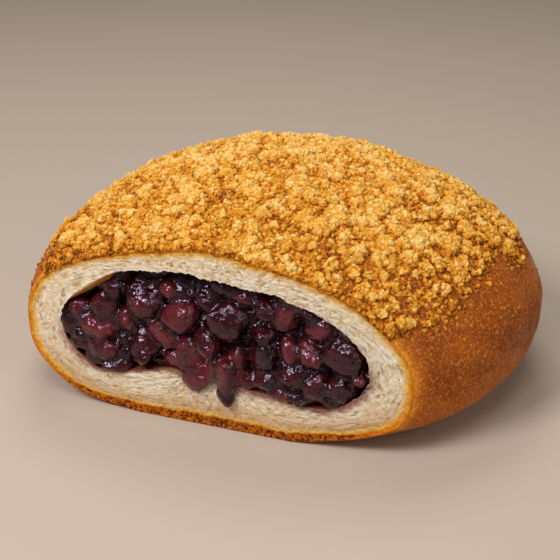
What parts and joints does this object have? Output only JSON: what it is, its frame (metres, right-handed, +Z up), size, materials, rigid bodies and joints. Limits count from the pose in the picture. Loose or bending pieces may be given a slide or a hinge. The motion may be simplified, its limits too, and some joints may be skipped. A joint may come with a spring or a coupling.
{
  "type": "streusel bun",
  "caption": "Round domed sweet bun topped with streusel crumbs, cut open at the front to show a sweet bean filling.",
  "frame": {"origin": "on the surface the bun rests on, under the middle of its bounding box", "axes": "+Z up; +X along the knife cut, to the right as seen facing it; the cut faces -Y"},
  "size_m": [0.1164, 0.0966, 0.0531],
  "materials": {
    "bread": "baked golden crust, cream crumb at the cut, golden streusel crumbs; soft and matt",
    "beans": "dark red cooked beans in a sticky, glossy syrup"
  },
  "bodies": {
    "root": {"bun": "bread", "filling": "beans"}
  },
  "joints": []
}
